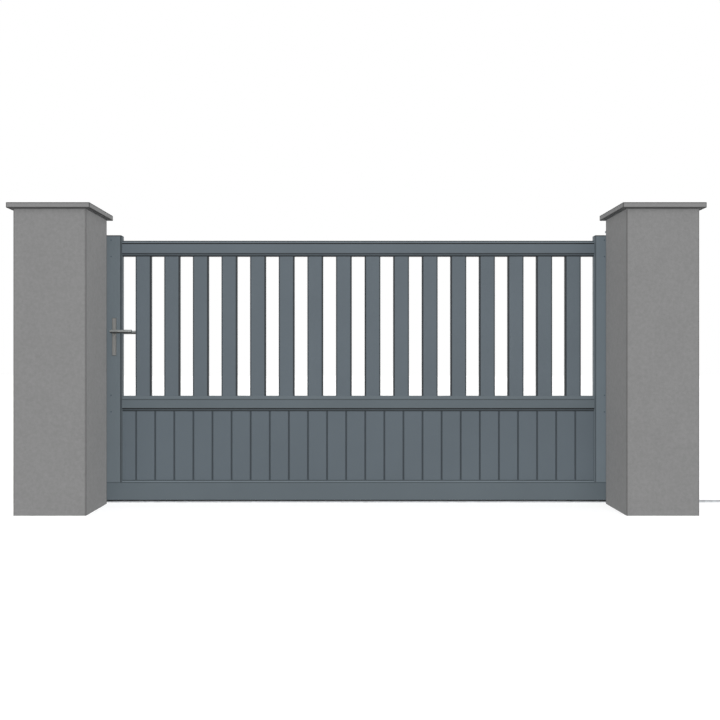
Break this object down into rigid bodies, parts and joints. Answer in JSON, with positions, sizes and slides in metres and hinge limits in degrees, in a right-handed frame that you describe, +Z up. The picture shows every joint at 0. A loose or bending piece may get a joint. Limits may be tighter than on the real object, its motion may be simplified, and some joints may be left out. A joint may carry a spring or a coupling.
{
  "type": "sliding driveway gate",
  "caption": "Sliding driveway gate of flat upright slats over tongue-and-groove boards, on a ground track between capped masonry pillars, with a lever handle.",
  "frame": {"origin": "on the ground in the middle of the opening, on the underside of the track, under the middle plane of the leaf", "axes": "+X to the right as seen from the street, the way the leaf opens; +Y away from the street, into the driveway; +Z up"},
  "size_m": [6.355, 0.5896, 1.735],
  "materials": {
    "pillar_render": "fine rendered masonry, matt",
    "cap_stone": "smooth cast stone, matt",
    "frame_coating": "blue-grey powder coating, satin",
    "infill_coating": "blue-grey powder coating, satin",
    "cap_plastic": "moulded plastic in the frame's colour",
    "galvanised_steel": "hot-dip galvanised",
    "coated_steel": "powder-coated steel in the frame's colour",
    "roller_nylon": "black nylon",
    "wheel_steel": "zinc-plated steel",
    "handle_metal": "satin anodised",
    "lock_steel": "brushed stainless steel"
  },
  "bodies": {
    "posts_and_track": {"left_pillar": "pillar_render", "left_pillar_cap": "cap_stone", "right_pillar": "pillar_render", "right_pillar_cap": "cap_stone", "ground_track": "galvanised_steel", "end_stop": "galvanised_steel", "guide_bracket": "coated_steel", "guide_rollers": "roller_nylon", "receiver": "coated_steel"},
    "leaf": {"bottom_rail": "frame_coating", "left_end_cap": "cap_plastic", "right_end_cap": "cap_plastic", "left_stile": "frame_coating", "right_stile": "frame_coating", "left_stile_cap": "cap_plastic", "right_stile_cap": "cap_plastic", "top_rail": "frame_coating", "mid_rail": "frame_coating", "slat_01": "infill_coating", "slat_02": "infill_coating", "slat_03": "infill_coating", "slat_04": "infill_coating", "slat_05": "infill_coating", "slat_06": "infill_coating", "slat_07": "infill_coating", "slat_08": "infill_coating", "slat_09": "infill_coating", "slat_10": "infill_coating", "slat_11": "infill_coating", "slat_12": "infill_coating", "slat_13": "infill_coating", "slat_14": "infill_coating", "slat_15": "infill_coating", "slat_16": "infill_coating", "lower_boards": "infill_coating", "left_wheel": "wheel_steel", "right_wheel": "wheel_steel", "left_carriage": "galvanised_steel", "right_carriage": "galvanised_steel", "latch_plate": "lock_steel", "front_handle_plate": "handle_metal", "rear_handle_plate": "handle_metal"},
    "handle": {"front_lever": "handle_metal", "rear_lever": "handle_metal", "spindle": "lock_steel"}
  },
  "joints": [
    {"name": "gate_slide", "type": "slide", "parent": "posts_and_track", "child": "leaf", "axis": [1, 0, 0], "range_m": [0, 2.8]},
    {"name": "handle_turn", "type": "hinge", "parent": "leaf", "child": "handle", "pos_m": [-1.466, 0, 1.0345], "axis": [0, 1, 0], "range_deg": [0, 40], "stiffness_Nm_per_rad": 1.2, "springref_deg": -28.65}
  ]
}
